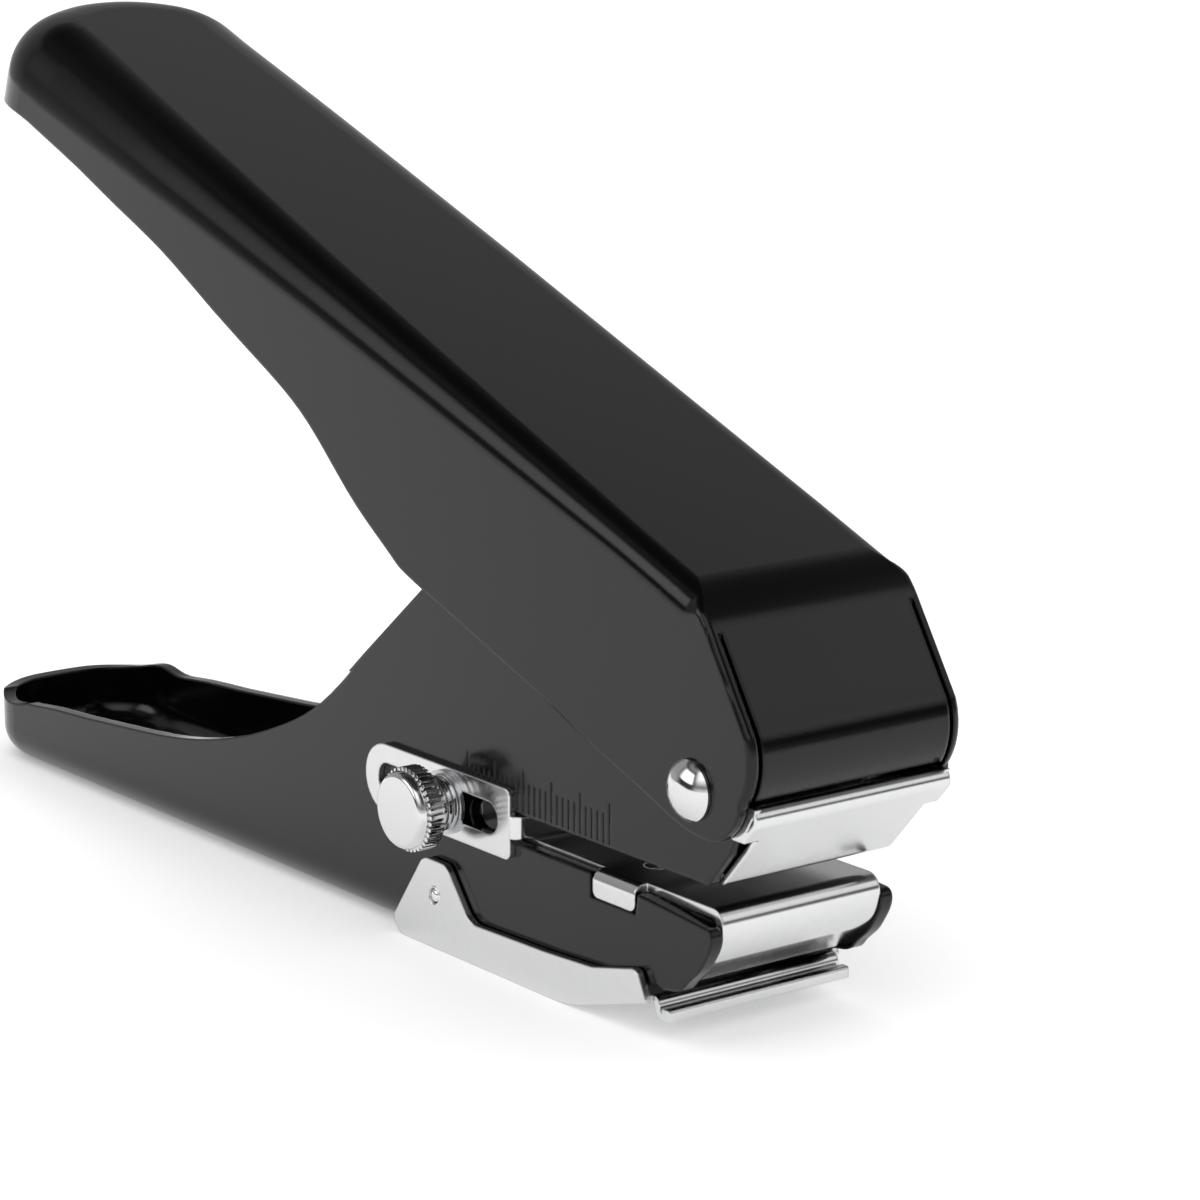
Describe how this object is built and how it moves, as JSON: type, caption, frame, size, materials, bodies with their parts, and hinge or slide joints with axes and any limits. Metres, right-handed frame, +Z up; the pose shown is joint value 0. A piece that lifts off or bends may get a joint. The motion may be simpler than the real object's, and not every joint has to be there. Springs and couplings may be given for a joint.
{
  "type": "id card slot punch",
  "caption": "Hand-held plier punch that cuts a long slot in a plastic card, with a sliding depth guide, a thumb screw, a scale and a hinged chip tray.",
  "frame": {"origin": "on the flat underside of the base handle, half way along the tool and half way across its cheeks", "axes": "+X towards the nose, where the card goes in; +Y towards the side away from the thumb screw; +Z up, from the base handle to the lever"},
  "size_m": [0.1593, 0.0349, 0.0964],
  "materials": {
    "black_paint": "semi-gloss black powder coat",
    "chrome": "polished chrome plate",
    "tool_steel": "ground tool steel",
    "bright_steel": "bright zinc-plated steel",
    "spring_steel": "drawn spring wire"
  },
  "bodies": {
    "base": {"base_frame": "black_paint", "die_plate": "chrome", "die_insert": "tool_steel", "jaw_lining": "chrome", "punch_guide": "tool_steel", "pivot_rivet": "chrome", "pivot_spacer": "bright_steel", "pivot_washers": "bright_steel", "clamp_nut": "bright_steel"},
    "lever": {"lever_shell": "black_paint", "drive_bracket": "bright_steel", "drive_pin": "bright_steel"},
    "punch": {"punch_blade": "tool_steel", "punch_carrier": "tool_steel", "return_springs": "spring_steel"},
    "guide": {"depth_guide": "chrome"},
    "thumb_screw": {"clamp_knob": "chrome", "clamp_stud": "bright_steel", "clamp_washer": "bright_steel"},
    "tray": {"chip_tray": "chrome"}
  },
  "joints": [
    {"name": "lever_hinge", "type": "hinge", "parent": "base", "child": "lever", "pos_m": [0.06975, 0, 0.0285], "axis": [0, -1, 0], "range_deg": [0, 22], "stiffness_Nm_per_rad": 0.61, "springref_deg": -14.32},
    {"name": "punch_slide", "type": "slide", "parent": "base", "child": "punch", "axis": [0, 0, -1], "range_m": [0, 0.0061], "deforming": ["return_springs"]},
    {"name": "guide_slide", "type": "slide", "parent": "base", "child": "guide", "axis": [1, 0, 0], "range_m": [-0.0076, 0.0112]},
    {"name": "thumb_screw_turn", "type": "hinge", "parent": "base", "child": "thumb_screw", "pos_m": [0.02625, -0.0162, 0.01715], "axis": [0, -1, 0], "range_deg": [0, 360]},
    {"name": "tray_hinge", "type": "hinge", "parent": "base", "child": "tray", "pos_m": [0.02415, 0, 0.006], "axis": [0, 1, 0], "range_deg": [0, 60]}
  ],
  "couplings": [
    {"joint": "punch_slide", "follows": "lever_hinge", "m_per_rad": 0.015693}
  ]
}
